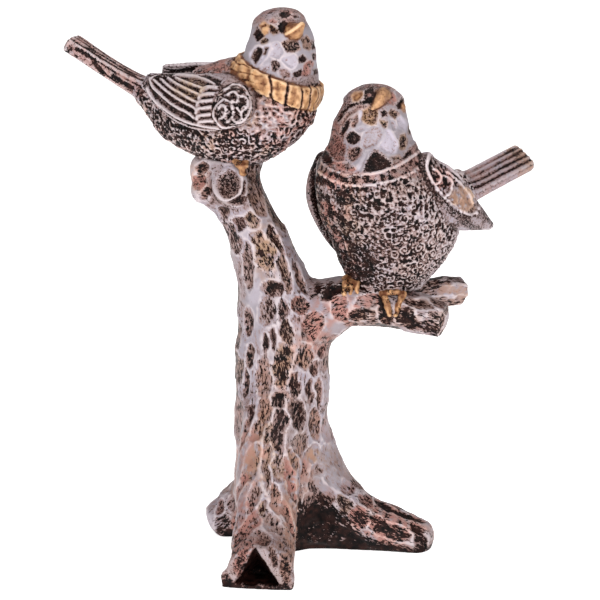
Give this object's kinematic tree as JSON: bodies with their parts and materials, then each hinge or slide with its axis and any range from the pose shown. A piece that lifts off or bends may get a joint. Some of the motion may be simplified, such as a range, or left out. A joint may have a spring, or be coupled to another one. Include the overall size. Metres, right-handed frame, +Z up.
{
  "type": "birds on tree figurine",
  "caption": "Cast resin table figurine of songbirds perched on a hewn tree stump with a side branch and spreading roots, painted in dry-brushed silver, rose and gold.",
  "frame": {"origin": "on the ground, under the middle of the figurine's bounding box", "axes": "+Z up the trunk; the viewer in the picture stands on the -Y side, where the front root points; +X to the viewer's right, where the branch and the right root point"},
  "size_m": [0.1966, 0.1124, 0.2275],
  "materials": {
    "painted_resin": "cast filled resin, painted black-brown and dry-brushed with silvery rose, with gold touches; satin"
  },
  "bodies": {
    "root": {"birds_on_tree": "painted_resin"}
  },
  "joints": []
}
